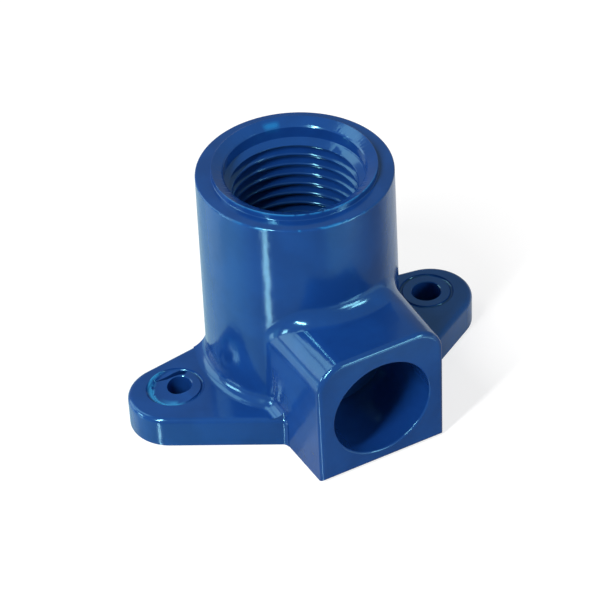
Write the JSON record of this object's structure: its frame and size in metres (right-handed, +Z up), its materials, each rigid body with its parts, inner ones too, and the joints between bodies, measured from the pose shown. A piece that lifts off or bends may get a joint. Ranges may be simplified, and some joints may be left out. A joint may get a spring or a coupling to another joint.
{
  "type": "drop-ear pipe elbow",
  "caption": "Blue CPVC drop-ear elbow: a female-threaded port on an eared wall plate turns at a right angle into a solvent-weld socket with a square outside.",
  "frame": {"origin": "on the underside of the wall plate, on the axis of the threaded port", "axes": "+Z up along the threaded port, -Y the way that the socket opens, +X along the ears towards the sound one"},
  "size_m": [0.0586, 0.0398, 0.0391],
  "materials": {
    "blue_cpvc": "glossy, as moulded"
  },
  "bodies": {
    "root": {"elbow_body": "blue_cpvc"}
  },
  "joints": []
}
